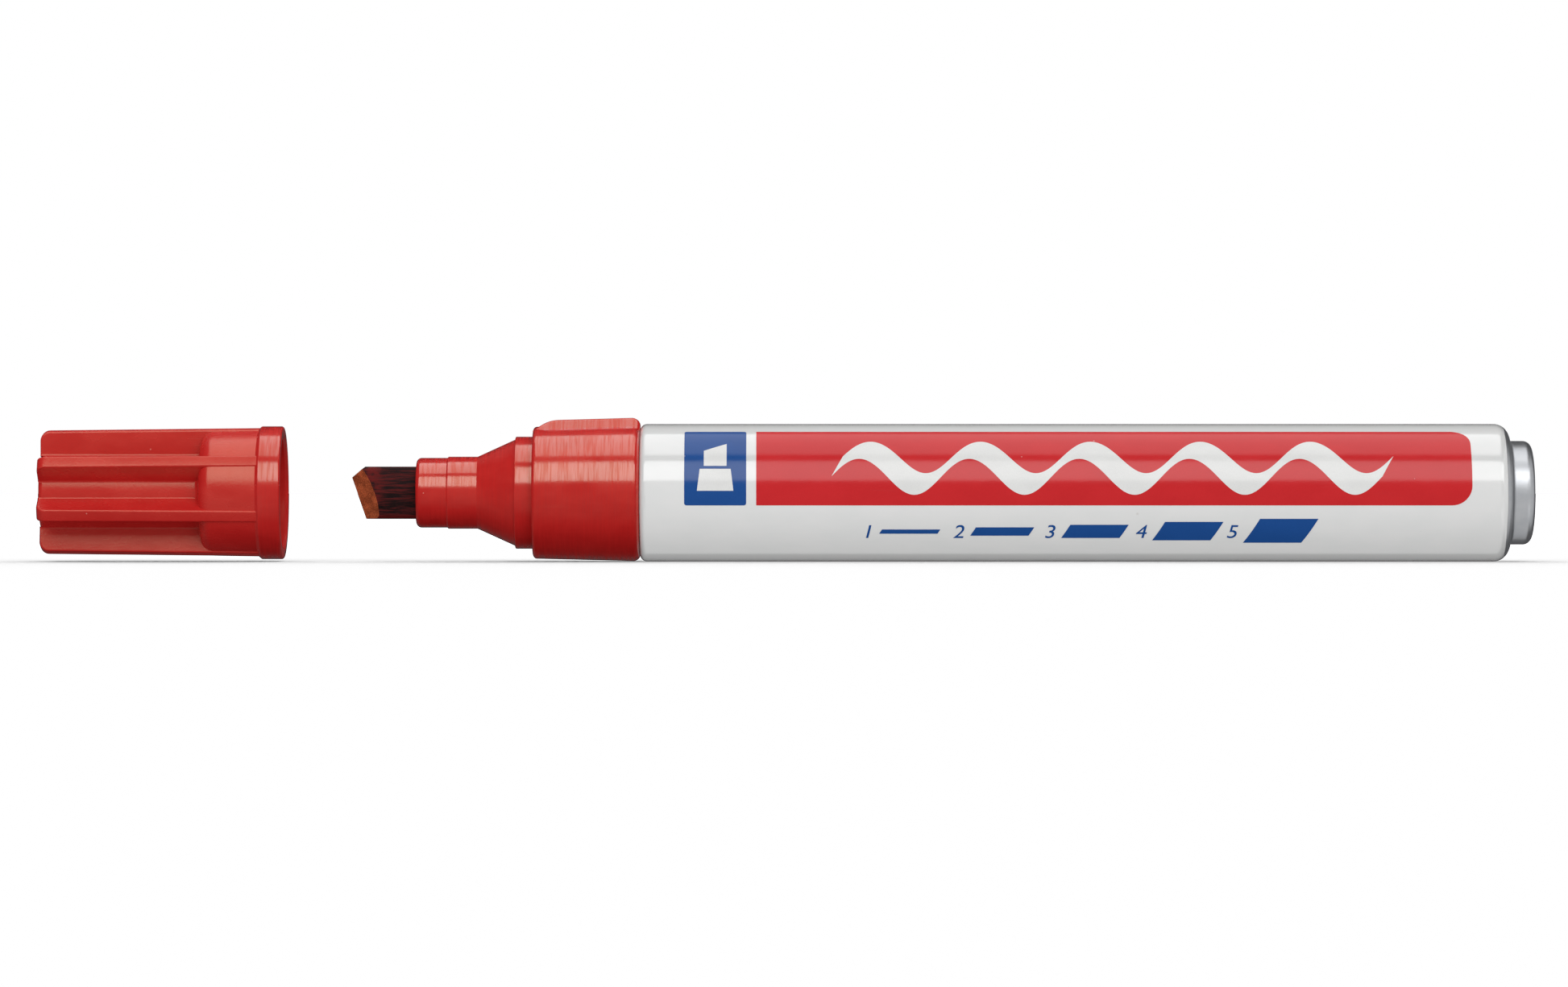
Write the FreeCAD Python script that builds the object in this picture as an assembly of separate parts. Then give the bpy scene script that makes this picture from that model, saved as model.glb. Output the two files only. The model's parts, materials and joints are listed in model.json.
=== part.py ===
import FreeCAD, Part
import math
import os

# Felt tip marker with a chisel nib, an aluminium barrel and a ribbed pull-off cap.
# It lies on its barrel along X, nib towards -X, with the cap pulled off in line in front of it.
# Millimetres; +Z is up; the origin is under the middle of the whole part, at the resting surface.

Vector = FreeCAD.Vector
along = Vector(1, 0, 0)

# Driving dimensions.

# Barrel: one drawn aluminium can with a stepped, closed tail.
barrel_diameter = 15.2
barrel_length = 98.55         # front rim to tail face
barrel_wall = 0.5
rim_radius = 0.75             # rolled-in front rim
rim_lip = 0.9                 # how far the rim turns in from the outside
shoulder_width = 1.88         # step in radius down to the tail nub
shoulder_radius = 1.6
nub_length = 2.5
nub_edge_radius = 0.9
nub_root_radius = 0.25

# Front section: nozzle, cone, cap seat, collar and lug in one moulding.
collar_length = 11.85
collar_inset = 0.03           # collar's rear edge below the barrel's surface
collar_taper = 0.28           # drop in radius towards the collar's front
collar_front_radius = 0.45
collar_rear_radius = 0.75
seat_length = 1.95            # band that the cap's mouth grips
seat_ledge = 1.1              # width of the collar face that the cap's mouth meets
seat_step = 0.3               # cone's back edge below the band
cone_length = 4.2
nozzle_rear_length = 3.35
nozzle_front_length = 3.4
nozzle_step = 0.13
nozzle_edge_radius = 0.55
nozzle_wall = 0.97            # plastic over the nib's tallest point
step_edge_radius = 0.12
spigot_length = 8.5           # plug inside the barrel
spigot_wall = 0.95
spigot_lead_in = 0.4
bore_floor = 1.5              # plastic between the collar's front face and the bore

# Anti-roll lug on top of the collar.
lug_foot_width = 3.8
lug_side_slope = 54.0         # degrees
lug_height = 0.72             # above the collar
lug_start = 0.7               # behind the collar's front face
lug_ramp_slope = 34.0         # degrees, where it leaves the collar
lug_ramp_radius = 3.6
lug_rear_radius = 0.9
lug_edge_radius = 0.4

# Nib: a felt rod with bulged sides, cut to a chisel.
nib_height = 5.75
nib_depth = 4.3
nib_side_bulge = 0.5          # how far each side stands out at mid-height
nib_corner_radius = 0.7
nib_reach = 7.15              # foremost point ahead of the nozzle
nib_tail_length = 8.0         # into the reservoir
nib_tail_point = 2.0          # length of the tail's taper
nib_tip_height = 1.68         # foremost point above the axis
nib_slope = 19.3              # degrees between the writing edge and upright
nib_top_cut = 38.0            # degrees between the short top cut and level
nib_edge_thickness = 0.5
nib_bevel_length = 1.9        # how far each bevel runs back from the writing edge

# Ink reservoir.
reservoir_clearance = 0.1     # between its film and the front section's bore
film_thickness = 0.1
rod_end_radius = 0.4
end_setback = 0.4             # bare rod at each end of the film

# Cap.
cap_length = 26.8
cap_gap = 27.6                # mouth to collar when pulled off
cap_seat_clearance = 0.05     # radial, on the band
cap_mouth_wall = 1.1
cap_bore_clearance = 0.08     # radial, on the nozzle
cap_core_wall = 0.52
cap_end_wall = 1.2
ring_length = 2.4             # thick mouth ring
ring_step = 0.3               # ring above the skirt
ring_step_length = 0.35
mouth_edge_radius = 0.25
mouth_lead_in = 0.3           # inside the mouth
throat_radius = 0.5
skirt_length = 6.45           # ring to the shoulder's foot
skirt_taper = 0.1             # drop in radius towards the closed end
cap_shoulder_radius = 1.5     # skirt down to the flute floor
cap_shoulder_lean = 0.25      # how far the shoulder's foot stands back
floor_fillet = 0.5
throat_start = 1.6            # inside, ahead of the shoulder's foot
throat_length = 1.3           # from the mouth bore down to the nozzle bore
rib_count = 7
rib_first_angle = 81.0        # degrees from the -Y side, upwards
rib_width = 1.25              # across its outer face
rib_flank_slope = 8.0         # degrees
rib_root_radius = 0.25
rib_proud = 0.13              # rib above the skirt at the ring
rib_taper = 0.27              # drop in radius from the ring to the closed end
rib_end_radius = 1.0
rib_edge_radius = 0.18
core_end_radius = 0.6

# Derived sizes.
barrel_radius = barrel_diameter / 2
barrel_bore = barrel_radius - barrel_wall
lip_radius = barrel_radius - rim_lip
nub_radius = barrel_radius - shoulder_width
collar_rear = barrel_radius - collar_inset
collar_front = collar_rear - collar_taper
band_radius = collar_front - seat_ledge
nozzle_front = nib_height / 2 + nozzle_wall
nozzle_rear = nozzle_front + nozzle_step
reservoir_bore = barrel_bore - spigot_wall
film_radius = reservoir_bore - reservoir_clearance
core_radius = film_radius - film_thickness
cap_mouth_bore = band_radius + cap_seat_clearance
ring_radius = cap_mouth_bore + cap_mouth_wall
skirt_radius = ring_radius - ring_step
rib_radius = skirt_radius + rib_proud
cap_rear_bore = nozzle_rear + cap_bore_clearance
cap_front_bore = nozzle_front + cap_bore_clearance
cap_core = cap_front_bore + cap_core_wall

# Places along X.
overall_length = cap_length + cap_gap + collar_length + barrel_length
cap_end_x = -overall_length / 2
cap_mouth_x = cap_end_x + cap_length
collar_front_x = cap_mouth_x + cap_gap
barrel_front_x = collar_front_x + collar_length
tail_x = barrel_front_x + barrel_length
shoulder_x = tail_x - nub_length
band_x = collar_front_x - seat_length
cone_x = band_x - cone_length
nozzle_step_x = cone_x - nozzle_rear_length
nozzle_x = nozzle_step_x - nozzle_front_length
bore_x = collar_front_x + bore_floor
nib_tail_x = bore_x + nib_tail_length
ring_x = cap_mouth_x - ring_length
skirt_x = ring_x - ring_step_length
cap_shoulder_x = skirt_x - skirt_length
throat_x = cap_shoulder_x + throat_start
cap_step_x = cap_mouth_x - (collar_front_x - nozzle_step_x) - cap_bore_clearance


def tangent_arc(before, corner, after, radius):
    """The arc that rounds a corner, with its two ends."""
    back = (before - corner).normalize()
    onward = (after - corner).normalize()
    half_angle = back.getAngle(onward) / 2
    reach = radius / math.tan(half_angle)
    start = corner + back * reach
    end = corner + onward * reach
    inward = (back + onward).normalize()
    middle = corner + inward * (radius / math.sin(half_angle) - radius)
    return Part.Arc(start, middle, end).toShape(), start, end


def rounded_face(corners):
    """A flat face from (point, corner radius) pairs, each corner a tangent arc."""
    arcs = []
    for index, (corner, radius) in enumerate(corners):
        before = corners[index - 1][0]
        after = corners[(index + 1) % len(corners)][0]
        if radius > 0:
            arcs.append(tangent_arc(before, corner, after, radius))
        else:
            arcs.append((None, corner, corner))
    edges = []
    for index, (arc, start, end) in enumerate(arcs):
        if arc is not None:
            edges.append(arc)
        next_start = arcs[(index + 1) % len(arcs)][1]
        if end.distanceToPoint(next_start) > 1e-6:
            edges.append(Part.makeLine(end, next_start))
    return Part.Face(Part.Wire(edges))


def turned(outline):
    """A solid turned about the axis from (x, radius from the axis, corner radius) points."""
    corners = [(Vector(x, 0, r), rounding) for x, r, rounding in outline]
    return rounded_face(corners).revolve(Vector(0, 0, 0), along, 360)


def level(angle):
    """Direction across the axis: 0 degrees is -Y, 90 is up."""
    turn = math.radians(angle)
    return Vector(0, -math.cos(turn), math.sin(turn))


def make_barrel():
    inner_corner = shoulder_radius - barrel_wall
    inner_rim = rim_radius - barrel_wall
    return turned([
        (barrel_front_x, lip_radius, 0),
        (barrel_front_x, barrel_radius, rim_radius),
        (shoulder_x, barrel_radius, shoulder_radius),
        (shoulder_x, nub_radius, nub_root_radius),
        (tail_x, nub_radius, nub_edge_radius),
        (tail_x, 0, 0),
        (tail_x - barrel_wall, 0, 0),
        (tail_x - barrel_wall, nub_radius - barrel_wall, nub_edge_radius - barrel_wall),
        (shoulder_x - barrel_wall, nub_radius - barrel_wall, 0),
        (shoulder_x - barrel_wall, barrel_bore, inner_corner),
        (barrel_front_x + barrel_wall, barrel_bore, inner_rim),
        (barrel_front_x + barrel_wall, lip_radius, 0),
    ])


def make_reservoir_core(nib):
    """Fibre rod; the nib's tail is pushed into its front end."""
    rear_x = shoulder_x - barrel_wall
    rod = turned([
        (bore_x, 0, 0),
        (bore_x, core_radius, rod_end_radius),
        (rear_x, core_radius, rod_end_radius),
        (rear_x, 0, 0),
    ])
    return rod.cut(nib)


def make_reservoir_film():
    front_x = bore_x + end_setback
    rear_x = shoulder_x - barrel_wall - end_setback
    return turned([
        (front_x, core_radius, 0),
        (front_x, film_radius, 0),
        (rear_x, film_radius, 0),
        (rear_x, core_radius, 0),
    ])


def nib_rod(start_x, end_x):
    """A length of the nib's rod: flat top and bottom, bulged sides, rounded corners."""
    top = nib_height / 2
    side = nib_depth / 2
    end = side - nib_side_bulge
    corners = [Vector(start_x, y, z) for y, z in ((-end, top), (-end, -top), (end, -top), (end, top))]
    near = Part.Arc(corners[0], Vector(start_x, -side, 0), corners[1]).toShape()
    far = Part.Arc(corners[2], Vector(start_x, side, 0), corners[3]).toShape()
    bottom = Part.makeLine(corners[1], corners[2])
    crown = Part.makeLine(corners[3], corners[0])
    rod = Part.Face(Part.Wire([near, bottom, far, crown])).extrude(along * (end_x - start_x))
    long_edges = [edge for edge in rod.Edges if edge.BoundBox.XLength > (end_x - start_x) / 2]
    return rod.makeFillet(nib_corner_radius, long_edges)


def make_nib():
    """Felt rod with its end cut to a slanted writing edge between two bevels."""
    top = nib_height / 2
    margin = 1.0
    tip = Vector(nozzle_x - nib_reach, 0, nib_tip_height)
    rod = nib_rod(tip.x, nib_tail_x)

    slope = math.radians(nib_slope)
    heel_x = tip.x + (tip.z + top + margin) * math.tan(slope)
    brow_x = tip.x + (top + margin - tip.z) / math.tan(math.radians(nib_top_cut))
    taper_x = nib_tail_x - nib_tail_point
    side_view = rounded_face([
        (Vector(tip.x, -nib_depth, tip.z), 0),
        (Vector(brow_x, -nib_depth, top + margin), 0),
        (Vector(taper_x, -nib_depth, top + margin), 0),
        (Vector(nib_tail_x, -nib_depth, top / 3), 0),
        (Vector(nib_tail_x, -nib_depth, -top / 3), 0),
        (Vector(taper_x, -nib_depth, -top - margin), 0),
        (Vector(heel_x, -nib_depth, -top - margin), 0),
    ]).extrude(Vector(0, 2 * nib_depth, 0))

    inward = Vector(math.cos(slope), 0, math.sin(slope))
    edge_way = Vector(math.sin(slope), 0, -math.cos(slope))
    thin = nib_edge_thickness / 2
    side = nib_depth / 2
    run = nib_tail_x - tip.x + nib_height
    grow = (side - thin) / nib_bevel_length
    start = tip - edge_way * nib_height
    wedge = rounded_face([
        (start + Vector(0, -thin, 0), 0),
        (start + inward * run + Vector(0, -thin - grow * run, 0), 0),
        (start + inward * run + Vector(0, thin + grow * run, 0), 0),
        (start + Vector(0, thin, 0), 0),
    ]).extrude(edge_way * 4 * nib_height)
    return rod.common(side_view).common(wedge)


def make_lug():
    """Ridge along the top of the collar, ramped at the front and rounded behind."""
    low = (reservoir_bore + collar_front) / 2
    front_x = collar_front_x + lug_start
    front_top = collar_front + lug_height
    rear_top = collar_rear + lug_height
    ramp = (front_top - low) / math.tan(math.radians(lug_ramp_slope))
    rise = (front_top - collar_front) / math.tan(math.radians(lug_ramp_slope))
    half = lug_foot_width
    side_view = rounded_face([
        (Vector(front_x + rise - ramp, -half, low), 0),
        (Vector(front_x + rise, -half, front_top), lug_ramp_radius),
        (Vector(barrel_front_x, -half, rear_top), lug_rear_radius),
        (Vector(barrel_front_x, -half, low), 0),
    ]).extrude(Vector(0, 2 * half, 0))

    foot = lug_foot_width / 2
    foot_z = math.sqrt(collar_rear ** 2 - foot ** 2)
    lean = math.tan(math.radians(lug_side_slope))
    peak_z = foot_z + foot * lean
    base = foot + (foot_z - low) / lean
    end_view = rounded_face([
        (Vector(collar_front_x, -base, low), 0),
        (Vector(collar_front_x, 0, peak_z), 0),
        (Vector(collar_front_x, base, low), 0),
    ]).extrude(along * (barrel_front_x - collar_front_x))
    lug = side_view.common(end_view)
    ridges = [edge for edge in lug.Edges if is_lug_ridge(edge)]
    return lug.makeFillet(lug_edge_radius, ridges)


def is_lug_ridge(edge):
    """True for the two long edges beside the lug's top."""
    box = edge.BoundBox
    return box.XLength > collar_length / 2 and box.ZMin > collar_front


def make_front_section():
    spigot_x = barrel_front_x + spigot_length
    body = turned([
        (nozzle_x, 0, 0),
        (nozzle_x, nozzle_front, nozzle_edge_radius),
        (nozzle_step_x, nozzle_front, 0),
        (nozzle_step_x + nozzle_step, nozzle_rear, step_edge_radius),
        (cone_x, nozzle_rear, 0),
        (band_x, band_radius - seat_step, 0),
        (band_x, band_radius, step_edge_radius),
        (collar_front_x, band_radius, 0),
        (collar_front_x, collar_front, collar_front_radius),
        (barrel_front_x, collar_rear, collar_rear_radius),
        (barrel_front_x, lip_radius, 0),
        (barrel_front_x + barrel_wall, lip_radius, 0),
        (barrel_front_x + barrel_wall, barrel_bore, rim_radius - barrel_wall),
        (spigot_x, barrel_bore, spigot_lead_in),
        (spigot_x, reservoir_bore, 0),
        (bore_x, reservoir_bore, 0),
        (bore_x, 0, 0),
    ])
    return body.fuse(make_lug()).removeSplitter().cut(nib_rod(nozzle_x, bore_x))


def rib_root_arc(side):
    """Arc from a rib's flank onto the core, as (sideways, outward) points."""
    lean = math.radians(rib_flank_slope)
    flank = rib_width / 2 * math.cos(lean) + rib_radius * math.sin(lean)
    reach = flank + rib_root_radius
    climb = math.sqrt((cap_core + rib_root_radius) ** 2 - reach ** 2)
    centre_x = reach * math.cos(lean) - climb * math.sin(lean)
    centre_z = reach * math.sin(lean) + climb * math.cos(lean)
    high = (centre_x - rib_root_radius * math.cos(lean), centre_z - rib_root_radius * math.sin(lean))
    share = cap_core / (cap_core + rib_root_radius)
    low = (centre_x * share, centre_z * share)
    way_x = (high[0] + low[0]) / 2 - centre_x
    way_z = (high[1] + low[1]) / 2 - centre_z
    size = rib_root_radius / math.hypot(way_x, way_z)
    middle = (centre_x + way_x * size, centre_z + way_z * size)
    return [(side * x, z) for x, z in (high, middle, low)]


def make_rib(angle):
    """One cap rib from the closed end to the mouth ring, rounded along its outer edges."""
    up = level(angle)
    across = level(angle + 90)

    def at(point):
        return Vector(cap_end_x, 0, 0) + across * point[0] + up * point[1]

    over = rib_radius + rib_edge_radius
    top = rib_width / 2 - rib_edge_radius * math.tan(math.radians(rib_flank_slope))
    left = [at(point) for point in rib_root_arc(-1)]
    right = [at(point) for point in rib_root_arc(1)]
    peak_left, peak_right = at((-top, over)), at((top, over))
    foot = at((0, cap_core - cap_core_wall))
    section = Part.Face(Part.Wire([
        Part.makeLine(peak_left, left[0]),
        Part.Arc(*left).toShape(),
        Part.makeLine(left[2], foot),
        Part.makeLine(foot, right[2]),
        Part.Arc(*reversed(right)).toShape(),
        Part.makeLine(right[0], peak_right),
        Part.makeLine(peak_right, peak_left),
    ]))
    envelope = turned([
        (cap_end_x, 0, 0),
        (cap_end_x, rib_radius - rib_taper, rib_end_radius),
        (ring_x, rib_radius, 0),
        (ring_x, 0, 0),
    ])
    rib = section.extrude(along * (ring_x - cap_end_x)).common(envelope)
    ridges = [edge for edge in rib.Edges if is_rib_ridge(edge)]
    return rib.makeFillet(rib_edge_radius, ridges)


def is_rib_ridge(edge):
    """True for the two long edges beside the rib's outer face."""
    box = edge.BoundBox
    middle = edge.valueAt((edge.FirstParameter + edge.LastParameter) / 2)
    return box.XLength > cap_length / 2 and math.hypot(middle.y, middle.z) > cap_core + rib_root_radius


def make_cap():
    """Ribbed shell, hollow from the mouth to the closed end."""
    body = turned([
        (cap_end_x, 0, 0),
        (cap_end_x, cap_core, core_end_radius),
        (cap_shoulder_x, cap_core, floor_fillet),
        (cap_shoulder_x + cap_shoulder_lean, skirt_radius - skirt_taper, cap_shoulder_radius),
        (skirt_x, skirt_radius, 0),
        (ring_x, ring_radius, ring_step / 2),
        (cap_mouth_x, ring_radius, mouth_edge_radius),
        (cap_mouth_x, 0, 0),
    ])
    for index in range(rib_count):
        body = body.fuse(make_rib(rib_first_angle + index * 360 / rib_count))

    hollow = turned([
        (cap_end_x + cap_end_wall, 0, 0),
        (cap_end_x + cap_end_wall, cap_front_bore, throat_radius),
        (cap_step_x, cap_front_bore, 0),
        (cap_step_x, cap_rear_bore, 0),
        (throat_x - throat_length, cap_rear_bore, 0),
        (throat_x, cap_mouth_bore, throat_radius),
        (cap_mouth_x - mouth_lead_in, cap_mouth_bore, 0),
        (cap_mouth_x, cap_mouth_bore + mouth_lead_in, 0),
        (cap_mouth_x, 0, 0),
    ])
    return body.cut(hollow).removeSplitter()


nib = make_nib()
pieces = {
    "barrel": make_barrel(),
    "front_section": make_front_section(),
    "nib": nib,
    "reservoir_core": make_reservoir_core(nib),
    "reservoir_film": make_reservoir_film(),
    "cap": make_cap(),
}
os.makedirs("parts", exist_ok=True)
for name, shape in pieces.items():
    shape.translate(Vector(0, 0, barrel_radius))
    shape.exportStep(f"parts/{name}.step")
    box = shape.BoundBox
    print(name, "solids", len(shape.Solids), "valid", shape.isValid(), "volume", round(shape.Volume, 2))
    print("   x", round(box.XMin, 2), round(box.XMax, 2), "z", round(box.ZMin, 2), round(box.ZMax, 2))
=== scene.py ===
import json
import math
import bmesh
import bpy
from mathutils import Matrix, Vector

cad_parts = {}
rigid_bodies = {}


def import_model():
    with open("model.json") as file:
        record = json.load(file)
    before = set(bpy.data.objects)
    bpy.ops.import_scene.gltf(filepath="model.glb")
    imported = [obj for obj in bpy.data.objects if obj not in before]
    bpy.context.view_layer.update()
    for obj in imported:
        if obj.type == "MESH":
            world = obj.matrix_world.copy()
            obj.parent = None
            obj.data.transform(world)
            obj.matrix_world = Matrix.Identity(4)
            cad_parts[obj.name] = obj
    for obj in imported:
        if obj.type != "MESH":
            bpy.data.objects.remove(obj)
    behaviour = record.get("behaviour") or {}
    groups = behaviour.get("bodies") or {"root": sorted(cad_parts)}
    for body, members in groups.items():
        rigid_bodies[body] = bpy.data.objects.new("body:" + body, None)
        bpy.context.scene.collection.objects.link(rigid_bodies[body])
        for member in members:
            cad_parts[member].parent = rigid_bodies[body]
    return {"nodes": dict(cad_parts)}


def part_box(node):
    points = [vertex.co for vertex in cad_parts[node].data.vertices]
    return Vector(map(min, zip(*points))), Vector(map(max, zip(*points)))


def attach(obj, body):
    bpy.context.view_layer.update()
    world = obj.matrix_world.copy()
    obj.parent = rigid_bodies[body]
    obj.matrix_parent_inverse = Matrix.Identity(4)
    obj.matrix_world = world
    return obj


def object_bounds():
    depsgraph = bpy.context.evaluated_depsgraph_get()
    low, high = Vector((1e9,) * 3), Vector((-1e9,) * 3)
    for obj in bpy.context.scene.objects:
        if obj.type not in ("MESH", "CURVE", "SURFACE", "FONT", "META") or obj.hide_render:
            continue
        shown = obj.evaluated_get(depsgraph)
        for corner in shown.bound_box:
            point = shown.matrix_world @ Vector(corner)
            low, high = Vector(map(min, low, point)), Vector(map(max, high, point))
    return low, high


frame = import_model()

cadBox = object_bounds()
nodes = frame["nodes"]
mm = 0.001
scene = bpy.context.scene
scene.view_settings.view_transform = "Standard"

# places along the marker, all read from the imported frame
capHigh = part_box("cap")[1]
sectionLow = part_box("front_section")[0]
barrelLow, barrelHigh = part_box("barrel")
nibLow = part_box("nib")[0]
barrelRadius = (barrelHigh.y - barrelLow.y) / 2
axisZ = (barrelLow.z + barrelHigh.z) / 2
middle = (cadBox[0] + cadBox[1]) / 2


# node tree helpers

def newNode(tree, kind, **values):
    node = tree.nodes.new(kind)
    for name, value in values.items():
        setattr(node, name, value)
    return node


def plug(tree, source, target):
    tree.links.new(source, target)


def feed(tree, value, socket):
    if isinstance(value, bpy.types.NodeSocket):
        plug(tree, value, socket)
    elif isinstance(value, (tuple, list)):
        socket.default_value = (*value[:3], 1) if socket.type == "RGBA" else value
    else:
        socket.default_value = value


def mathNode(tree, operation, *values, clamp=False):
    node = newNode(tree, "ShaderNodeMath", operation=operation, use_clamp=clamp)
    for socket, value in zip(node.inputs, values):
        feed(tree, value, socket)
    return node.outputs[0]


def mixColour(tree, amount, a, b):
    node = newNode(tree, "ShaderNodeMix", data_type="RGBA")
    for index, value in ((0, amount), (6, a), (7, b)):
        feed(tree, value, node.inputs[index])
    return node.outputs[2]


def noise(tree, vector, scale, detail=2.0, roughness=0.5):
    node = newNode(tree, "ShaderNodeTexNoise")
    for name, value in (("Vector", vector), ("Scale", scale), ("Detail", detail), ("Roughness", roughness)):
        feed(tree, value, node.inputs[name])
    return node.outputs["Fac"]


def stretched(tree, vector, scale):
    node = newNode(tree, "ShaderNodeMapping")
    feed(tree, vector, node.inputs["Vector"])
    feed(tree, scale, node.inputs["Scale"])
    return node.outputs["Vector"]


def ramp(tree, value, low, high, outLow=0.0, outHigh=1.0):
    node = newNode(tree, "ShaderNodeMapRange", interpolation_type="SMOOTHSTEP")
    for name, number in (("Value", value), ("From Min", low), ("From Max", high), ("To Min", outLow),
                         ("To Max", outHigh)):
        feed(tree, number, node.inputs[name])
    return node.outputs["Result"]


def newMaterial(name, **sockets):
    made = bpy.data.materials.new(name)
    made.use_nodes = True
    principled = made.node_tree.nodes["Principled BSDF"]
    for socket, value in sockets.items():
        feed(made.node_tree, value, principled.inputs[socket])
    return made, made.node_tree, principled


def placeOn(tree):
    return newNode(tree, "ShaderNodeTexCoord").outputs["Object"]


def alongX(tree, vector):
    node = newNode(tree, "ShaderNodeSeparateXYZ")
    plug(tree, vector, node.inputs[0])
    return node.outputs[0]


def bump(tree, principled, *layers):          # each layer is a height from 0 to 1 and its depth
    normal = None
    for height, distance in layers:
        node = newNode(tree, "ShaderNodeBump")
        node.inputs["Distance"].default_value = distance
        plug(tree, height, node.inputs["Height"])
        if normal is not None:
            plug(tree, normal, node.inputs["Normal"])
        normal = node.outputs["Normal"]
    plug(tree, normal, principled.inputs["Normal"])


def dress(node, material):
    mesh = nodes[node].data
    mesh.materials.clear()
    mesh.materials.append(material)


# shared effects

def newGroup(name, inputs, outputs):
    tree = bpy.data.node_groups.new(name, "ShaderNodeTree")
    for title, kind, value in inputs:
        socket = tree.interface.new_socket(title, in_out="INPUT", socket_type=kind)
        if value is not None:
            socket.default_value = value
    for title in outputs:
        tree.interface.new_socket(title, in_out="OUTPUT", socket_type="NodeSocketFloat")
    return tree, newNode(tree, "NodeGroupInput").outputs, newNode(tree, "NodeGroupOutput").inputs


def useGroup(tree, group, **values):
    node = newNode(tree, "ShaderNodeGroup", node_tree=group)
    for name, value in values.items():
        feed(tree, value, node.inputs[name])
    return node.outputs


def makeRingLines():          # fine lines that run round the axis
    tree, given, out = newGroup("ringLines", [
        ("Vector", "NodeSocketVector", None), ("Pitch", "NodeSocketFloat", 0.0002),
        ("Drift", "NodeSocketFloat", 0.004)], ["Height"])
    parts = newNode(tree, "ShaderNodeSeparateXYZ")
    plug(tree, given["Vector"], parts.inputs[0])
    joined = newNode(tree, "ShaderNodeCombineXYZ")
    for index, divisor in enumerate((given["Pitch"], given["Drift"], given["Drift"])):
        plug(tree, mathNode(tree, "DIVIDE", parts.outputs[index], divisor), joined.inputs[index])
    plug(tree, noise(tree, joined.outputs[0], 1.0, 2.5, 0.6), out["Height"])
    return tree


def makeMouldGrain():          # satin grain of a mould wall, with slow patches
    tree, given, out = newGroup("mouldGrain", [
        ("Vector", "NodeSocketVector", None), ("Size", "NodeSocketFloat", 0.0002)], ["Height", "Patches"])
    fineness = mathNode(tree, "DIVIDE", 1.0, given["Size"])
    plug(tree, noise(tree, given["Vector"], fineness, 3.0, 0.6), out["Height"])
    plug(tree, noise(tree, stretched(tree, given["Vector"], (0.5, 1, 1)), 420.0, 3.0, 0.55), out["Patches"])
    return tree


def makeEdgePolishAndHighlight():          # mask of the outer edges that hands polish; the red mouldings also use it for a painted highlight
    tree, given, out = newGroup("edgePolishAndHighlight", [
        ("Vector", "NodeSocketVector", None), ("Radius", "NodeSocketFloat", 0.0002)], ["Mask"])
    rounded = newNode(tree, "ShaderNodeBevel", samples=4)
    plug(tree, given["Radius"], rounded.inputs["Radius"])
    shape = newNode(tree, "ShaderNodeNewGeometry")
    facing = newNode(tree, "ShaderNodeVectorMath", operation="DOT_PRODUCT")
    plug(tree, rounded.outputs["Normal"], facing.inputs[0])
    plug(tree, shape.outputs["Normal"], facing.inputs[1])
    edge = ramp(tree, facing.outputs["Value"], 0.999, 0.93)
    broken = ramp(tree, noise(tree, given["Vector"], 900.0, 3.0, 0.6), 0.35, 0.65, 0.35, 1.0)
    plug(tree, mathNode(tree, "MULTIPLY", edge, broken), out["Mask"])
    return tree


def makeDust():          # a few tiny light specks
    tree, given, out = newGroup("dust", [
        ("Vector", "NodeSocketVector", None), ("Spacing", "NodeSocketFloat", 0.0016),
        ("Share", "NodeSocketFloat", 0.25)], ["Mask"])
    cells = newNode(tree, "ShaderNodeTexVoronoi")
    plug(tree, given["Vector"], cells.inputs["Vector"])
    plug(tree, mathNode(tree, "DIVIDE", 1.0, given["Spacing"]), cells.inputs["Scale"])
    pick = newNode(tree, "ShaderNodeSeparateColor")
    plug(tree, cells.outputs["Color"], pick.inputs[0])
    chosen = mathNode(tree, "LESS_THAN", pick.outputs[0], given["Share"])
    size = mathNode(tree, "MULTIPLY_ADD", pick.outputs[1], 0.05, 0.012)
    dot = mathNode(tree, "LESS_THAN", cells.outputs["Distance"], size)
    plug(tree, mathNode(tree, "MULTIPLY", chosen, dot), out["Mask"])
    return tree


def makeHandling():          # faint hairline scuffs from use
    tree, given, out = newGroup("handling", [
        ("Vector", "NodeSocketVector", None), ("Amount", "NodeSocketFloat", 0.5)], ["Mask"])
    strokes = None
    for turn, seed in ((0.35, 0.0), (-0.5, 3.0)):
        spun = newNode(tree, "ShaderNodeMapping")
        plug(tree, given["Vector"], spun.inputs["Vector"])
        spun.inputs["Location"].default_value = (seed, seed, seed)
        spun.inputs["Rotation"].default_value = (0, turn, 0)
        spun.inputs["Scale"].default_value = (110, 2600, 2600)
        line = ramp(tree, noise(tree, spun.outputs[0], 1.0, 1.0, 0.4), 0.69, 0.74)
        strokes = line if strokes is None else mathNode(tree, "MAXIMUM", strokes, line)
    gate = ramp(tree, noise(tree, given["Vector"], 160.0, 1.0, 0.5), 0.5, 0.62)
    shown = mathNode(tree, "MULTIPLY", strokes, gate)
    plug(tree, mathNode(tree, "MULTIPLY", shown, given["Amount"]), out["Mask"])
    return tree


ringLines = makeRingLines()
mouldGrain = makeMouldGrain()
edgePolishAndHighlight = makeEdgePolishAndHighlight()
dust = makeDust()
handling = makeHandling()
print("shared effects made")


# red mouldings

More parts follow.
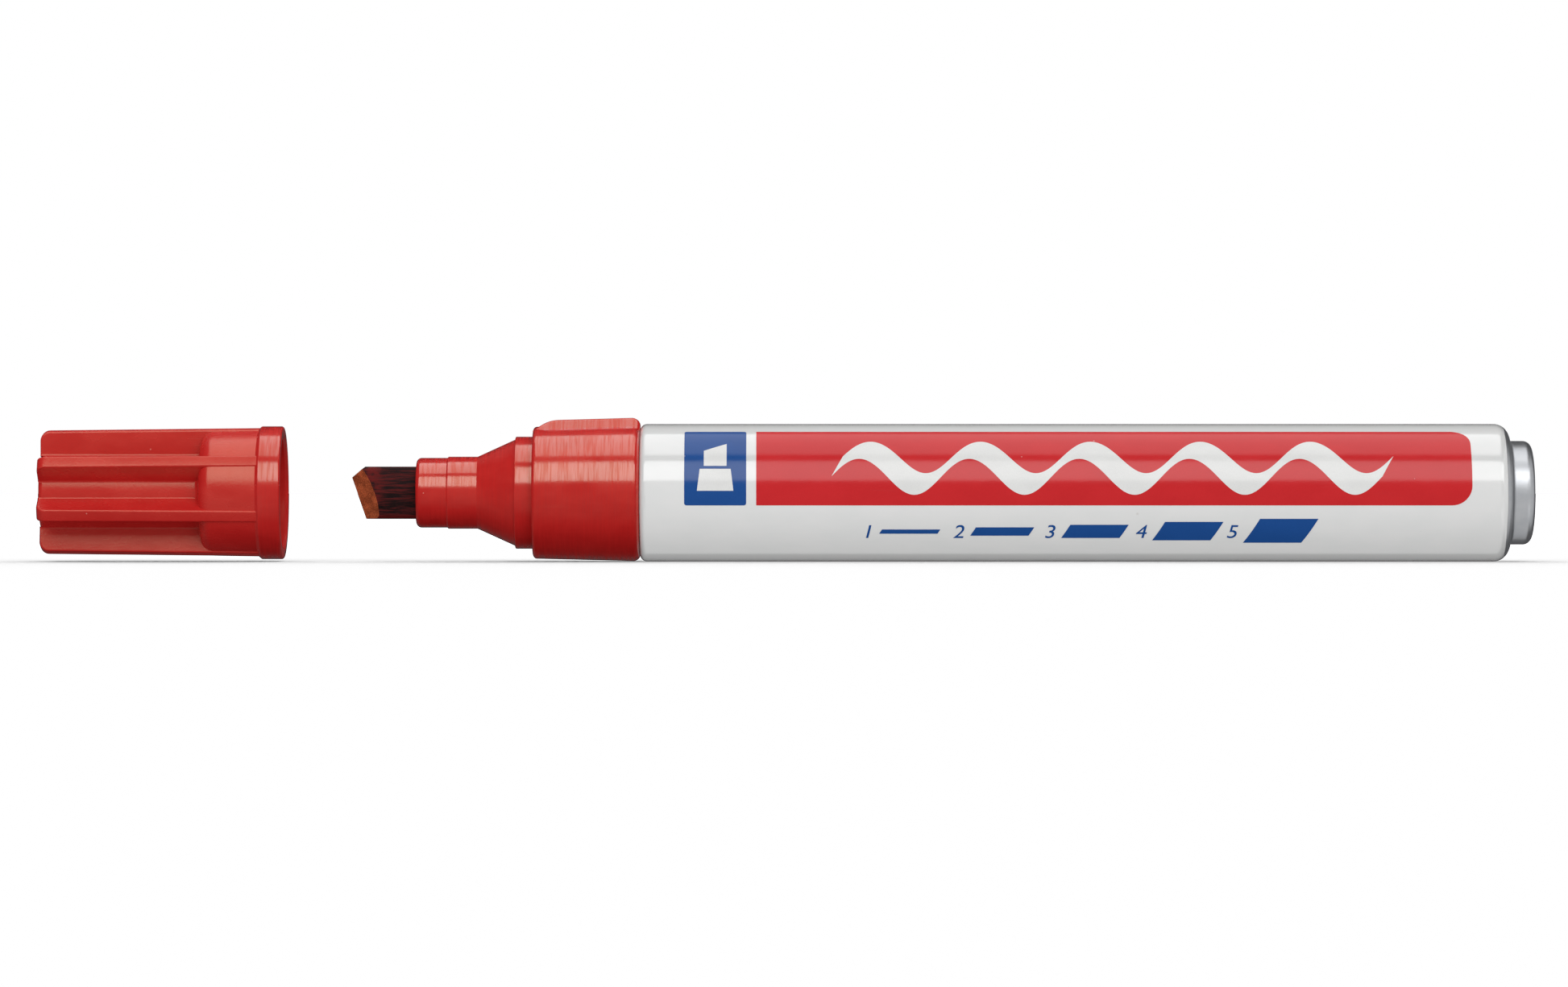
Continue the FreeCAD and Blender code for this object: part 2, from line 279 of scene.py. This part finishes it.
capPlastic = {
    "colour": (0.57, 0.0180, 0.0170),
    "deepColour": (0.53, 0.0150, 0.0145),
    "paintedEdgeHighlight": (0.62, 0.035, 0.032),
    "dustColour": (0.72, 0.30, 0.26),
    "glossTint": (0.92, 1.0, 0.70),
    "ior": 1.66,
    "satinCoat": 0.05,
    "glossyCoat": 0.75,
    "coatIor": 1.6,
    "coatRoughness": 0.12,
    "glossyFrom": capHigh.x - 2.7 * mm,              # the mouth ring is smoother than the grip
    "glossyFade": 0.3 * mm,
    "satinRoughness": 0.23,
    "glossyRoughness": 0.17,
    "satinGrain": 0.014 * mm,
    "glossyGrain": 0.003 * mm,
    "grainSize": 0.20 * mm,
    "linePitch": 0.20 * mm,
    "satinLines": 0.004 * mm,
    "glossyLines": 0.014 * mm,
    "edgeRadius": 0.15 * mm,
    "dustShare": 0.20,
    "scuffs": 0.25,
    "scuffDepth": 0.002 * mm,
}
sectionPlastic = dict(capPlastic, **{
    "glossyFrom": sectionLow.x - 10 * mm,             # glossy all along
    "ior": 1.75,
    "glossyRoughness": 0.15,
    "dustShare": 0.12,
    "scuffs": 0.3,
})


def makeRedPlastic(name, settings):
    made, tree, principled = newMaterial(name, **{
        "IOR": settings["ior"], "Specular Tint": settings["glossTint"],
        "Coat IOR": settings["coatIor"], "Coat Roughness": settings["coatRoughness"]})
    place = placeOn(tree)
    grain = useGroup(tree, mouldGrain, Vector=place, Size=settings["grainSize"])
    lines = useGroup(tree, ringLines, Vector=place, Pitch=settings["linePitch"])["Height"]
    edges = useGroup(tree, edgePolishAndHighlight, Vector=place, Radius=settings["edgeRadius"])["Mask"]
    specks = useGroup(tree, dust, Vector=place, Share=settings["dustShare"])["Mask"]
    scuffs = useGroup(tree, handling, Vector=place, Amount=settings["scuffs"])["Mask"]
    glossy = ramp(tree, alongX(tree, place), settings["glossyFrom"],
                  settings["glossyFrom"] + settings["glossyFade"])

    patches = ramp(tree, grain["Patches"], 0.35, 0.65)
    colour = mixColour(tree, patches, settings["deepColour"], settings["colour"])
    # painted highlight: the outer edges are made lighter in colour
    colour = mixColour(tree, mathNode(tree, "MULTIPLY", edges, 0.7), colour, settings["paintedEdgeHighlight"])
    colour = mixColour(tree, mathNode(tree, "MULTIPLY", specks, 0.55), colour, settings["dustColour"])
    plug(tree, colour, principled.inputs["Base Color"])

    roughness = ramp(tree, glossy, 0, 1, settings["satinRoughness"], settings["glossyRoughness"])
    roughness = mathNode(tree, "MULTIPLY_ADD", patches, 0.05, roughness)
    roughness = mathNode(tree, "MULTIPLY_ADD", scuffs, 0.25, roughness)
    roughness = mathNode(tree, "MULTIPLY_ADD", specks, 0.3, roughness)
    roughness = mathNode(tree, "MULTIPLY_ADD", edges, -0.05, roughness)
    plug(tree, roughness, principled.inputs["Roughness"])

    coat = ramp(tree, glossy, 0, 1, settings["satinCoat"], settings["glossyCoat"])
    streaks = ramp(tree, lines, 0.36, 0.60, 0.05, 1.35)
    plug(tree, mathNode(tree, "MULTIPLY", coat, streaks, clamp=True), principled.inputs["Coat Weight"])

    grainSteps = ramp(tree, glossy, 0, 1, 1.0, settings["glossyGrain"] / settings["satinGrain"])
    lineSteps = ramp(tree, glossy, 0, 1, settings["satinLines"] / settings["glossyLines"], 1.0)
    bump(tree, principled,
         (mathNode(tree, "MULTIPLY", grain["Height"], grainSteps), settings["satinGrain"]),
         (mathNode(tree, "MULTIPLY", lines, lineSteps), settings["glossyLines"]),
         (mathNode(tree, "MULTIPLY", scuffs, -1.0), settings["scuffDepth"]))
    return made


dress("cap", makeRedPlastic("capPlastic", capPlastic))
dress("front_section", makeRedPlastic("sectionPlastic", sectionPlastic))


# barrel: white lacquer over drawn aluminium, bare at the tail

barrelFinish = {
    "white": (0.69, 0.69, 0.685),
    "whiteShade": (0.67, 0.675, 0.67),
    "metal": (0.63, 0.64, 0.66),
    "metalDullAndRimShade": (0.50, 0.52, 0.55),
    "paintedRootShade": (0.10, 0.10, 0.11),
    "ior": 1.75,
    "coat": 1.0,
    "coatIor": 1.6,
    "coatRoughness": 0.12,
    "lacquerEnd": barrelHigh.x - 3.2 * mm,
    "lacquerWander": 0.12 * mm,
    "lacquerStep": 0.03 * mm,
    "lacquerRoughness": 0.15,
    "metalRoughness": 0.36,
    "rootAt": barrelHigh.x - 2.5 * mm,              # where the nub leaves the shoulder
    "rootWidth": 0.35 * mm,
    "rimFrom": barrelHigh.x - 0.35 * mm,
    "drawLines": 0.05 * mm,
    "lineHeight": 0.0016 * mm,
    "peel": 0.0045 * mm,
    "peelSize": 0.9 * mm,
    "edgeRadius": 0.25 * mm,
    "dustColour": (0.45, 0.43, 0.40),
}


def makeBarrelFinish(settings):
    made, tree, principled = newMaterial("lacqueredAluminium", **{
        "IOR": settings["ior"], "Coat IOR": settings["coatIor"], "Coat Roughness": settings["coatRoughness"]})
    place = placeOn(tree)
    x = alongX(tree, place)
    grain = useGroup(tree, mouldGrain, Vector=place, Size=settings["peelSize"])
    lines = useGroup(tree, ringLines, Vector=place, Pitch=settings["drawLines"], Drift=3 * mm)["Height"]
    edges = useGroup(tree, edgePolishAndHighlight, Vector=place, Radius=settings["edgeRadius"])["Mask"]
    specks = useGroup(tree, dust, Vector=place, Spacing=2.4 * mm, Share=0.12)["Mask"]
    scuffs = useGroup(tree, handling, Vector=place, Amount=0.5)["Mask"]

    wander = mathNode(tree, "MULTIPLY_ADD", noise(tree, place, 500.0, 3.0, 0.6), settings["lacquerWander"], x)
    bare = ramp(tree, wander, settings["lacquerEnd"], settings["lacquerEnd"] + 0.1 * mm)
    fromRoot = mathNode(tree, "ABSOLUTE", mathNode(tree, "SUBTRACT", x, settings["rootAt"]))
    root = ramp(tree, fromRoot, settings["rootWidth"], 0.05 * mm)
    rim = ramp(tree, x, settings["rimFrom"], barrelHigh.x - 0.05 * mm)

    patches = ramp(tree, grain["Patches"], 0.35, 0.65)
    white = mixColour(tree, patches, settings["whiteShade"], settings["white"])
    white = mixColour(tree, mathNode(tree, "MULTIPLY", specks, 0.35), white, settings["dustColour"])
    dulled = mathNode(tree, "MULTIPLY", patches, 0.6)
    metal = mixColour(tree, dulled, settings["metal"], settings["metalDullAndRimShade"])
    metal = mixColour(tree, mathNode(tree, "MULTIPLY", lines, 0.25), metal, settings["metalDullAndRimShade"])
    # painted shade: the nub's root, in the corner against the shoulder, is darkened in colour
    metal = mixColour(tree, mathNode(tree, "MULTIPLY", root, 0.75), metal, settings["paintedRootShade"])
    # painted shade: the tail's rim is darkened towards the dull metal colour
    metal = mixColour(tree, mathNode(tree, "MULTIPLY", rim, 0.25), metal, settings["metalDullAndRimShade"])
    plug(tree, mixColour(tree, bare, white, metal), principled.inputs["Base Color"])
    plug(tree, bare, principled.inputs["Metallic"])

    roughness = ramp(tree, bare, 0, 1, settings["lacquerRoughness"], settings["metalRoughness"])
    roughness = mathNode(tree, "MULTIPLY_ADD", patches, 0.03, roughness)
    roughness = mathNode(tree, "MULTIPLY_ADD", scuffs, 0.12, roughness)
    roughness = mathNode(tree, "MULTIPLY_ADD", root, 0.25, roughness)
    roughness = mathNode(tree, "MULTIPLY_ADD", edges, 0.04, roughness)
    plug(tree, roughness, principled.inputs["Roughness"])

    lacquered = mathNode(tree, "SUBTRACT", 1.0, bare)
    coat = ramp(tree, patches, 0, 1, settings["coat"] - 0.15, settings["coat"])
    plug(tree, mathNode(tree, "MULTIPLY", coat, lacquered), principled.inputs["Coat Weight"])
    bump(tree, principled,
         (lacquered, settings["lacquerStep"]),
         (mathNode(tree, "MULTIPLY", grain["Height"], lacquered), settings["peel"]),
         (lines, settings["lineHeight"]))
    return made


dress("barrel", makeBarrelFinish(barrelFinish))


# nib and reservoir

nibFelt = {
    "dark": (0.012, 0.0036, 0.0040),
    "streak": (0.095, 0.0080, 0.0080),
    "wetRed": (0.150, 0.007, 0.0065),
    "facet": (0.52, 0.115, 0.040),
    "facetDeep": (0.22, 0.044, 0.014),
    "roughness": 0.62,
    "fibrePitch": 0.07 * mm,
    "fibreHeight": 0.03 * mm,
    "poreSize": 0.11 * mm,
    "poreHeight": 0.05 * mm,
}


def makeNibFelt(settings):
    made, tree, principled = newMaterial("inkedFelt", **{"IOR": 1.45, "Specular IOR Level": 0.15})
    coordinates = newNode(tree, "ShaderNodeTexCoord")
    place = coordinates.outputs["Object"]
    way = newNode(tree, "ShaderNodeSeparateXYZ")
    plug(tree, coordinates.outputs["Normal"], way.inputs[0])
    pitch = 1 / settings["fibrePitch"]
    fibres = noise(tree, stretched(tree, place, (pitch * 0.045, pitch, pitch)), 1.0, 4.0, 0.62)
    bundles = noise(tree, stretched(tree, place, (pitch * 0.012, pitch * 0.17, pitch * 0.17)), 1.0, 2.0, 0.5)
    pores = noise(tree, place, 1 / settings["poreSize"], 3.0, 0.65)
    blotches = noise(tree, place, 950.0, 2.0, 0.5)

    cut = ramp(tree, way.outputs[0], -0.3, -0.5)              # faces that the cutter left, towards the tip
    streaks = ramp(tree, mathNode(tree, "MULTIPLY_ADD", bundles, 0.6, fibres), 0.72, 0.98)
    body = mixColour(tree, streaks, settings["dark"], settings["streak"])
    low = ramp(tree, way.outputs[2], -0.25, -0.9)
    nearCut = ramp(tree, alongX(tree, place), nibLow.x + 4.3 * mm, nibLow.x + 2.2 * mm)
    wet = mathNode(tree, "MAXIMUM", low, mathNode(tree, "MULTIPLY", nearCut, ramp(tree, blotches, 0.38, 0.6)))
    wet = mathNode(tree, "MULTIPLY", wet, ramp(tree, fibres, 0.3, 0.6, 0.35, 0.95))
    body = mixColour(tree, wet, body, settings["wetRed"])
    mottle = ramp(tree, mathNode(tree, "MULTIPLY_ADD", blotches, 0.5, pores), 0.62, 0.9)
    face = mixColour(tree, mottle, settings["facetDeep"], settings["facet"])
    plug(tree, mixColour(tree, cut, body, face), principled.inputs["Base Color"])

    roughness = ramp(tree, fibres, 0.3, 0.7, settings["roughness"] - 0.12, settings["roughness"] + 0.15)
    plug(tree, mathNode(tree, "MULTIPLY_ADD", cut, 0.2, roughness), principled.inputs["Roughness"])
    kept = mathNode(tree, "SUBTRACT", 1.0, cut)
    bump(tree, principled,
         (mathNode(tree, "MULTIPLY", fibres, kept), settings["fibreHeight"]),
         (mathNode(tree, "MULTIPLY", pores, cut), settings["poreHeight"]))
    return made


reservoirFibre = {
    "dry": (0.50, 0.06, 0.05),
    "soaked": (0.20, 0.010, 0.012),
    "fibrePitch": 0.09 * mm,
    "fibreHeight": 0.04 * mm,
}


def makeReservoirFibre(settings):
    made, tree, principled = newMaterial("soakedFibre", IOR=1.45)
    place = placeOn(tree)
    pitch = 1 / settings["fibrePitch"]
    fibres = noise(tree, stretched(tree, place, (pitch * 0.03, pitch, pitch)), 1.0, 3.0, 0.6)
    level = noise(tree, stretched(tree, place, (30, 160, 160)), 1.0, 2.0, 0.5)
    colour = mixColour(tree, ramp(tree, level, 0.4, 0.6), settings["soaked"], settings["dry"])
    dark = mathNode(tree, "MULTIPLY", ramp(tree, fibres, 0.6, 0.35), 0.5)
    plug(tree, mixColour(tree, dark, colour, settings["soaked"]), principled.inputs["Base Color"])
    plug(tree, ramp(tree, fibres, 0.3, 0.7, 0.6, 0.85), principled.inputs["Roughness"])
    bump(tree, principled, (fibres, settings["fibreHeight"]))
    return made


reservoirWrap = {
    "film": (0.74, 0.66, 0.64),
    "stained": (0.62, 0.30, 0.28),
    "roughness": 0.28,
    "creaseHeight": 0.02 * mm,
}


def makeReservoirWrap(settings):
    made, tree, principled = newMaterial("wrapFilm", IOR=1.5)
    place = placeOn(tree)
    creases = noise(tree, stretched(tree, place, (60, 700, 700)), 1.0, 3.0, 0.6)
    grain = useGroup(tree, mouldGrain, Vector=place, Size=0.2 * mm)
    stain = ramp(tree, grain["Patches"], 0.45, 0.65)
    plug(tree, mixColour(tree, stain, settings["film"], settings["stained"]), principled.inputs["Base Color"])
    plug(tree, ramp(tree, creases, 0.3, 0.7, settings["roughness"], settings["roughness"] + 0.15),
         principled.inputs["Roughness"])
    bump(tree, principled, (creases, settings["creaseHeight"]))
    return made


dress("nib", makeNibFelt(nibFelt))
dress("reservoir_core", makeReservoirFibre(reservoirFibre))
dress("reservoir_film", makeReservoirWrap(reservoirWrap))
print("mouldings, barrel, nib and reservoir dressed")


# print on the barrel, laid out flat as (mm along the barrel, mm round it, upwards from the viewer's side)

printInk = {
    "red": (0.56, 0.018, 0.022),
    "blue": (0.011, 0.068, 0.262),
    "white": (0.72, 0.72, 0.71),
    "ior": 1.48,
    "roughness": 0.15,
    "lift": 0.024 * mm,
    "thickness": 0.04 * mm,
    "strip": 0.3,              # mm of print between two bends round the barrel
    "fineHeight": 0.0012 * mm,
    "dustColour": (0.66, 0.60, 0.58),
}


def makeInk(name, colour):
    made, tree, principled = newMaterial(name, IOR=printInk["ior"])
    place = placeOn(tree)
    grain = useGroup(tree, mouldGrain, Vector=place, Size=barrelFinish["peelSize"])
    fine = noise(tree, place, 9000.0, 2.0, 0.6)
    specks = useGroup(tree, dust, Vector=place, Spacing=1.6 * mm, Share=0.15)["Mask"]
    scuffs = useGroup(tree, handling, Vector=place, Amount=0.4)["Mask"]
    deeper = [channel * 0.92 for channel in colour]
    tone = mathNode(tree, "MULTIPLY_ADD", ramp(tree, fine, 0.35, 0.65), 0.5, mathNode(
        tree, "MULTIPLY", ramp(tree, grain["Patches"], 0.35, 0.65), 0.5))
    inked = mixColour(tree, tone, deeper, colour)
    inked = mixColour(tree, mathNode(tree, "MULTIPLY", specks, 0.4), inked, printInk["dustColour"])
    plug(tree, inked, principled.inputs["Base Color"])
    roughness = mathNode(tree, "MULTIPLY_ADD", tone, 0.03, printInk["roughness"])
    plug(tree, mathNode(tree, "MULTIPLY_ADD", scuffs, 0.12, roughness), principled.inputs["Roughness"])
    bump(tree, principled, (grain["Height"], barrelFinish["peel"]), (fine, printInk["fineHeight"]))
    return made


inks = {name: makeInk(name + "Ink", printInk[name]) for name in ("red", "blue", "white")}


def wrapShape(name, loops, ink, layer=0):          # loops of flat corners, one face each
    shape = bmesh.new()
    for loop in loops:
        corners = [shape.verts.new((x, s, 0)) for x, s in loop]
        shape.faces.new(corners)
    bmesh.ops.triangulate(shape, faces=shape.faces[:])
    return wrapMesh(name, shape, ink, layer)


def wrapMesh(name, shape, ink, layer):
    low = min(corner.co.y for corner in shape.verts)
    high = max(corner.co.y for corner in shape.verts)
    cut = math.ceil(low / printInk["strip"]) * printInk["strip"]
    while cut < high:
        bmesh.ops.bisect_plane(shape, geom=shape.verts[:] + shape.edges[:] + shape.faces[:],
                               plane_co=(0, cut, 0), plane_no=(0, 1, 0))
        cut += printInk["strip"]
    bmesh.ops.remove_doubles(shape, verts=shape.verts[:], dist=0.0004)
    radius = barrelRadius + printInk["lift"] * (1 + 0.5 * layer)
    for corner in shape.verts:
        turn = corner.co.y * mm / barrelRadius
        corner.co = (corner.co.x * mm, -radius * math.cos(turn), axisZ + radius * math.sin(turn))
    bmesh.ops.recalc_face_normals(shape, faces=shape.faces[:])
    outward = sum(face.normal.dot(face.calc_center_median() - Vector((face.calc_center_median().x, 0, axisZ)))
                  for face in shape.faces)
    if outward < 0:
        bmesh.ops.reverse_faces(shape, faces=shape.faces[:])
    bmesh.ops.solidify(shape, geom=shape.faces[:], thickness=printInk["thickness"])
    mesh = bpy.data.meshes.new(name)
    shape.to_mesh(mesh)
    shape.free()
    mesh.materials.append(ink)
    for face in mesh.polygons:
        face.use_smooth = True
    mesh.set_sharp_from_angle(angle=math.radians(35))
    made = bpy.data.objects.new(name, mesh)
    scene.collection.objects.link(made)
    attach(made, "marker")
    return made


def roundedBlock(left, right, bottom, top, radii, steps=10):
    loop = []
    spots = ((left, bottom, 180, radii[0]), (right, bottom, 270, radii[1]),
             (right, top, 0, radii[2]), (left, top, 90, radii[3]))
    for x, s, start, radius in spots:
        inX = x + radius if x == left else x - radius
        inS = s + radius if s == bottom else s - radius
        if radius == 0:
            loop.append((x, s))
            continue
        for step in range(steps + 1):
            turn = math.radians(start + 90 * step / steps)
            loop.append((inX + radius * math.cos(turn), inS + radius * math.sin(turn)))
    return loop


panel = {
    "left": -3.3,
    "right": 75.2,
    "bottom": -1.41,
    "top": 8.14,
    "corner": 2.2,
    "badgeLeft": -11.2,
    "badgeRight": -4.4,
}
wrapShape("print_panel", [roundedBlock(panel["left"], panel["right"], panel["bottom"], panel["top"],
                                       (0, panel["corner"], panel["corner"], 0))], inks["red"])
wrapShape("print_badge", [roundedBlock(panel["badgeLeft"], panel["badgeRight"], panel["bottom"], panel["top"],
                                       (0.25,) * 4, 4)], inks["blue"])


# white pen stroke over the panel, as a chisel nib leaves it

stroke = {
    "left": 5.6,
    "right": 66.0,
    "centre": 3.0,
    "rise": 2.05,
    "periods": 5,
    "nibWidth": 2.7,
    "nibAngle": 62,
    "steps": 40,
}


def chiselStroke(settings):
    nibTurn = math.radians(settings["nibAngle"])
    half = Vector((math.cos(nibTurn), math.sin(nibTurn))) * settings["nibWidth"] / 2
    count = settings["periods"] * settings["steps"]
    upper, lower = [], []
    for step in range(count + 1):
        share = step / count
        x = settings["left"] + share * (settings["right"] - settings["left"])
        turn = 2 * math.pi * settings["periods"] * share
        point = Vector((x, settings["centre"] + settings["rise"] * math.sin(turn)))
        upper.append(point + half)
        lower.append(point - half)
    return [[tuple(corner) for corner in (lower[i], lower[i + 1], upper[i + 1], upper[i])]
            for i in range(count)]


wrapShape("print_wave", chiselStroke(stroke), inks["white"], 1)


# white picture of a chisel nib on the badge

badge = {
    "centre": -7.8,
    "tip": 5.9,
    "bodyHalf": 1.25,
    "slope": 1.0,              # the chisel cut, from its low side to the tip
    "foot": 2.9,              # from the tip down to the holder
    "gap": 0.35,
    "shoulder": 0.45,              # how far the holder stands out, at its top and at its bottom
    "base": 0.75,
    "holderFoot": 5.7,
}


def nibPicture(settings):
    x, tip, half = settings["centre"], settings["tip"], settings["bodyHalf"]
    foot = tip - settings["foot"]
    top, bottom = foot - settings["gap"], tip - settings["holderFoot"]
    upper, lower = half + settings["shoulder"], half + settings["base"]
    nib = [(x - half, tip - settings["slope"]), (x + half, tip), (x + half, foot), (x - half, foot)]
    holder = [(x - upper, top), (x + upper, top), (x + lower, bottom), (x - lower, bottom)]
    return [nib, holder]


wrapShape("print_nib", nibPicture(badge), inks["white"], 1)


# blue scale of line widths below the panel, numbered in millimetres

lineScale = {
    "first": 10.2,
    "pitch": 10.0,
    "length": 6.4,
    "slant": 0.55,
    "centre": -4.55,
    "widths": (0.55, 1.1, 1.75, 2.45, 3.2),
    "numberSize": 2.5,
    "numberGap": 0.7,
}


def scaleStrokes(settings):
    loops = []
    for index, width in enumerate(settings["widths"]):
        left = settings["first"] + index * settings["pitch"]
        right = left + settings["length"]
        low, high = settings["centre"] - width / 2, settings["centre"] + width / 2
        lean = settings["slant"] * width
        loops.append([(left, low), (right, low), (right + lean, high), (left + lean, high)])
    return loops


def scaleNumbers(settings):
    shape = bmesh.new()
    for index in range(len(settings["widths"])):
        data = bpy.data.curves.new("numberCurve", "FONT")
        data.body = str(index + 1)
        data.size = settings["numberSize"]
        data.align_x = "RIGHT"
        data.shear = 0.2
        data.resolution_u = 6
        holder = bpy.data.objects.new("numberHolder", data)
        scene.collection.objects.link(holder)
        bpy.context.view_layer.update()
        flat = bpy.data.meshes.new_from_object(holder.evaluated_get(bpy.context.evaluated_depsgraph_get()))
        left = settings["first"] + index * settings["pitch"] - settings["numberGap"]
        flat.transform(Matrix.Translation((left, settings["centre"] - 0.35 * settings["numberSize"], 0)))
        shape.from_mesh(flat)
        bpy.data.objects.remove(holder)
        bpy.data.meshes.remove(flat)
    return shape


wrapShape("print_scale", scaleStrokes(lineScale), inks["blue"])
wrapMesh("print_numbers", scaleNumbers(lineScale), inks["blue"], 0)
print("print laid on the barrel")


# studio

studio = {
    "distance": 0.5,
    # from and to in degrees above the viewer's horizon, radiance, length
    "topBox": (66, 116, 1.45, 0.5),
    "frontBox": (20, 54, 2.3, 0.8),
    "backBox": (112, 166, 3.3, 0.8),              # soft light on the top from behind
    "underBox": (-120, -46, 0.70, 1.4),              # lifts the lacquer's underside
    "sheenPanel": (-125, 19, 0.56, 0.8),              # mirrored by the lacquer and the bare metal only
    "tailPanel": (-50, 50, 0.55, 0.8),              # off the tail end, for the shoulder and the nub's rim
    "horizonFill": 0.90,
    "lowFill": 0.0,
    "highFill": 0.48,
    "endFill": 0.5,              # share left towards both ends of the marker
    "mirrored": 0.05,              # share of the fill that shows in glossy surfaces
}


def softbox(name, seenBy=None, diffuse=True, glossy=True, aside=0):
    fromAngle, toAngle, radiance, length = studio[name]
    distance = studio["distance"]
    width = 2 * distance * math.tan(math.radians(toAngle - fromAngle) / 2)
    data = bpy.data.lights.new(name, "AREA")
    data.shape = "RECTANGLE"
    data.size = length
    data.size_y = width
    data.energy = radiance * math.pi * width * length
    made = bpy.data.objects.new(name, data)
    scene.collection.objects.link(made)
    turn = math.radians((fromAngle + toAngle) / 2)
    away = Vector((aside, -math.cos(turn), math.sin(turn))).normalized()
    made.location = Vector((middle.x, 0, axisZ)) + away * distance
    made.rotation_euler = away.to_track_quat("Z", "Y").to_euler()
    made.visible_diffuse = diffuse
    made.visible_glossy = glossy
    if seenBy:
        made.light_linking.receiver_collection = seenBy


def gather(name, things):
    made = bpy.data.collections.new(name)
    for thing in things:
        made.objects.link(thing)
    return made


printed = [made for made in scene.objects if made.name.startswith("print_")]
softbox("topBox", diffuse=False)
softbox("frontBox")
softbox("backBox", glossy=False)
softbox("underBox", gather("barrelAndPrint", [nodes["barrel"]] + printed), glossy=False)
barrelOnly = gather("barrelOnly", [nodes["barrel"]])
softbox("sheenPanel", barrelOnly, diffuse=False)
softbox("tailPanel", barrelOnly, diffuse=False, aside=3)


def makeWorld(settings):
    world = bpy.data.worlds.new("studioWorld")
    scene.world = world
    world.use_nodes = True
    tree = world.node_tree
    tree.nodes.clear()
    way = newNode(tree, "ShaderNodeSeparateXYZ")
    plug(tree, newNode(tree, "ShaderNodeTexCoord").outputs["Generated"], way.inputs[0])
    below = ramp(tree, way.outputs[2], -0.85, -0.5, settings["lowFill"], settings["horizonFill"])
    above = ramp(tree, way.outputs[2], 0.05, 0.35, 0.0, settings["highFill"] - settings["horizonFill"])
    ends = ramp(tree, mathNode(tree, "ABSOLUTE", way.outputs[0]), 0.45, 0.95, 1.0, settings["endFill"])
    level = mathNode(tree, "MULTIPLY", mathNode(tree, "ADD", below, above), ends)
    rays = newNode(tree, "ShaderNodeLightPath").outputs
    shown = ramp(tree, rays["Is Glossy Ray"], 0, 1, 1, settings["mirrored"])
    level = mathNode(tree, "MULTIPLY", level, shown)
    fill = newNode(tree, "ShaderNodeBackground")
    plug(tree, level, fill.inputs["Color"])
    seen = newNode(tree, "ShaderNodeBackground")
    seen.inputs["Color"].default_value = (1, 1, 1, 1)
    choose = newNode(tree, "ShaderNodeMixShader")
    plug(tree, rays["Is Camera Ray"], choose.inputs[0])
    plug(tree, fill.outputs[0], choose.inputs[1])
    plug(tree, seen.outputs[0], choose.inputs[2])
    plug(tree, choose.outputs[0], newNode(tree, "ShaderNodeOutputWorld").inputs[0])


makeWorld(studio)


floor = {
    "size": 400,
    "dark": (0.76, 0.76, 0.75),
    "pale": (0.84, 0.84, 0.83),
    "roughness": 0.9,
    "fibreHeight": 0.02 * mm,
}


def makeFloor(settings):
    mesh = bpy.data.meshes.new("floor")
    half = settings["size"] / 2
    corners = [(-half, -half, 0), (half, -half, 0), (half, half, 0), (-half, half, 0)]
    mesh.from_pydata(corners, [], [(0, 1, 2, 3)])
    made = bpy.data.objects.new("floor", mesh)
    scene.collection.objects.link(made)
    made.location.z = cadBox[0].z
    made.is_shadow_catcher = True
    made.visible_diffuse = False
    made.visible_glossy = False
    made.visible_shadow = False
    material, tree, principled = newMaterial("floorPaper", Roughness=settings["roughness"])
    fibres = noise(tree, placeOn(tree), 700.0, 3.0, 0.6)
    plug(tree, mixColour(tree, fibres, settings["dark"], settings["pale"]), principled.inputs["Base Color"])
    bump(tree, principled, (fibres, settings["fibreHeight"]))
    mesh.materials.append(material)


makeFloor(floor)


# camera

cameraPlan = {
    "distance": 0.7374,
    "lens": 152.9,
    "aside": -0.25 * mm,
    "below": -0.1 * mm,
}
cameraData = bpy.data.cameras.new("camera")
cameraData.lens = cameraPlan["lens"]
cameraData.sensor_width = 36
camera = bpy.data.objects.new("camera", cameraData)
scene.collection.objects.link(camera)
camera.location = (middle.x + cameraPlan["aside"], -cameraPlan["distance"], axisZ + cameraPlan["below"])
camera.rotation_euler = (math.pi / 2, 0, 0)
scene.camera = camera
print("studio made")
